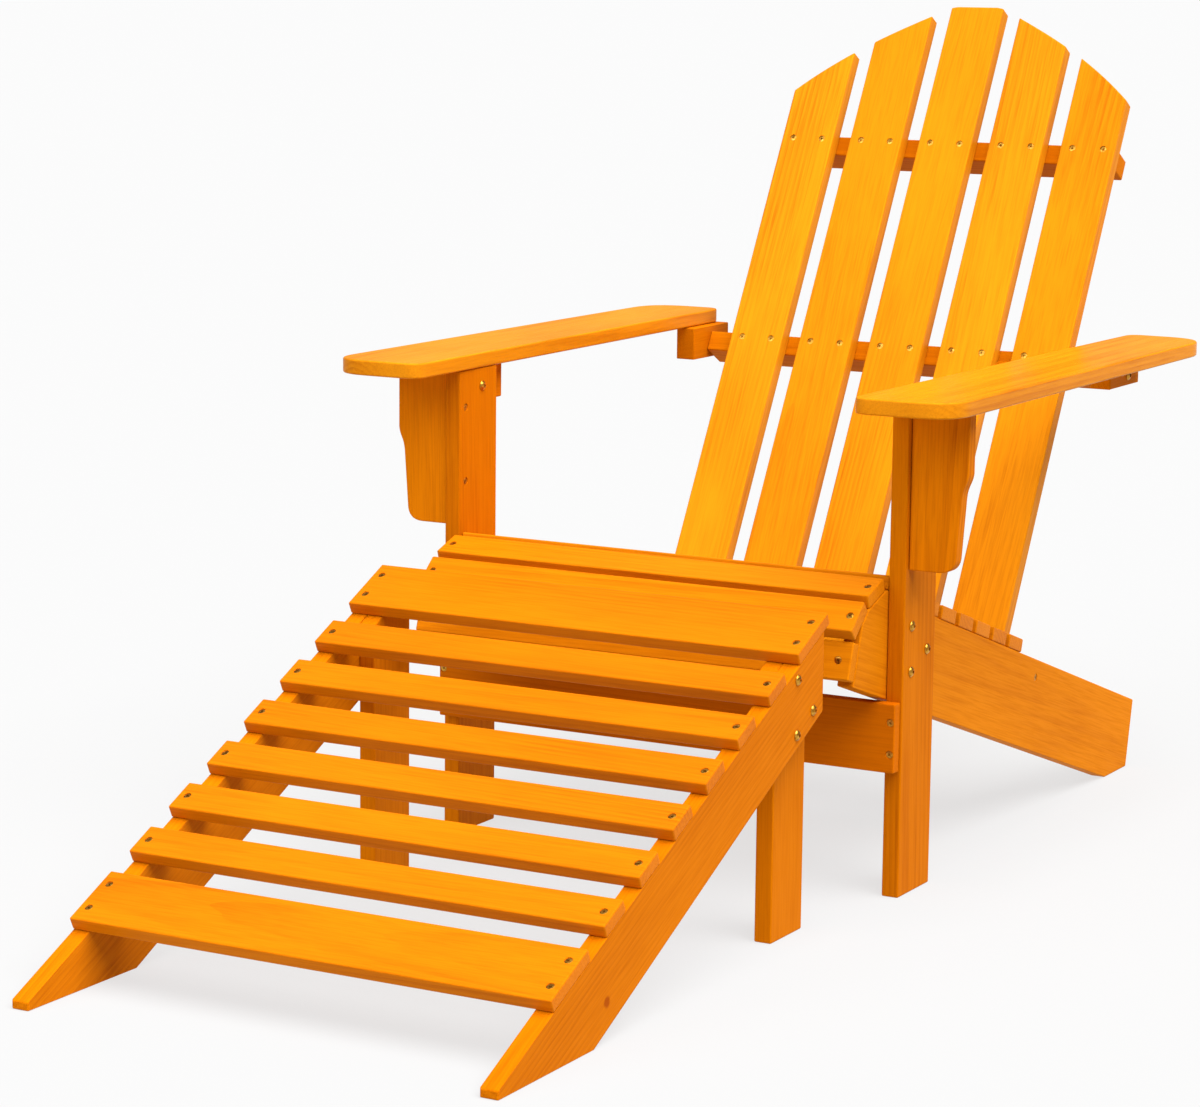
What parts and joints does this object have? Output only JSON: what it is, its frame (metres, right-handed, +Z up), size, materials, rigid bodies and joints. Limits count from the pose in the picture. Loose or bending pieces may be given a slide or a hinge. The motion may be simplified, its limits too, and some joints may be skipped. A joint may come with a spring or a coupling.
{
  "type": "adirondack chair with slatted footrest",
  "caption": "Low slatted wooden garden armchair with a leaning arched back and flat arms, and its matching sloped slatted footrest.",
  "frame": {"origin": "centre of the whole set's footprint, on the floor", "axes": "+X towards the sitter's left hand, +Y backwards from the footrest to the chair's back, +Z up"},
  "size_m": [0.7, 1.5248, 0.8671],
  "materials": {
    "stained_softwood": "semi-gloss orange stain over planed softwood, faint grain",
    "plated_steel": "yellow zinc plated, satin"
  },
  "bodies": {
    "chair": {"seat_rail_left": "stained_softwood", "front_leg_left": "stained_softwood", "leg_bolt_left_1": "plated_steel", "leg_bolt_left_2": "plated_steel", "leg_bolt_left_3": "plated_steel", "seat_rail_right": "stained_softwood", "front_leg_right": "stained_softwood", "leg_bolt_right_1": "plated_steel", "leg_bolt_right_2": "plated_steel", "leg_bolt_right_3": "plated_steel", "front_stretcher": "stained_softwood", "seat_slat_01": "stained_softwood", "seat_slat_02": "stained_softwood", "seat_slat_03": "stained_softwood", "seat_slat_04": "stained_softwood", "seat_slat_05": "stained_softwood", "seat_slat_06": "stained_softwood", "seat_slat_07": "stained_softwood", "seat_slat_08": "stained_softwood", "seat_slat_09": "stained_softwood", "seat_slat_10": "stained_softwood", "front_apron": "stained_softwood", "back_slat_1": "stained_softwood", "back_slat_2": "stained_softwood", "back_slat_3": "stained_softwood", "back_slat_4": "stained_softwood", "back_slat_5": "stained_softwood", "back_rail_bottom": "stained_softwood", "back_rail_middle": "stained_softwood", "back_rail_top": "stained_softwood", "arm_left": "stained_softwood", "arm_bracket_left": "stained_softwood", "arm_cleat_left": "stained_softwood", "cleat_bolt_left": "plated_steel", "arm_block_left": "stained_softwood", "block_bolt_left": "plated_steel", "arm_right": "stained_softwood", "arm_bracket_right": "stained_softwood", "arm_cleat_right": "stained_softwood", "cleat_bolt_right": "plated_steel", "arm_block_right": "stained_softwood", "block_bolt_right": "plated_steel"},
    "footrest": {"footrest_rail_left": "stained_softwood", "footrest_leg_left": "stained_softwood", "footrest_bolt_left_1": "plated_steel", "footrest_bolt_left_2": "plated_steel", "footrest_bolt_left_3": "plated_steel", "footrest_rail_right": "stained_softwood", "footrest_leg_right": "stained_softwood", "footrest_bolt_right_1": "plated_steel", "footrest_bolt_right_2": "plated_steel", "footrest_bolt_right_3": "plated_steel", "footrest_slat_1": "stained_softwood", "footrest_slat_2": "stained_softwood", "footrest_slat_3": "stained_softwood", "footrest_slat_4": "stained_softwood", "footrest_slat_5": "stained_softwood", "footrest_slat_6": "stained_softwood", "footrest_slat_7": "stained_softwood", "footrest_slat_8": "stained_softwood"}
  },
  "joints": [
    {"name": "footrest_slide", "type": "slide", "parent": "chair", "child": "footrest", "axis": [0, -1, 0], "range_m": [0, 0.4]}
  ]
}
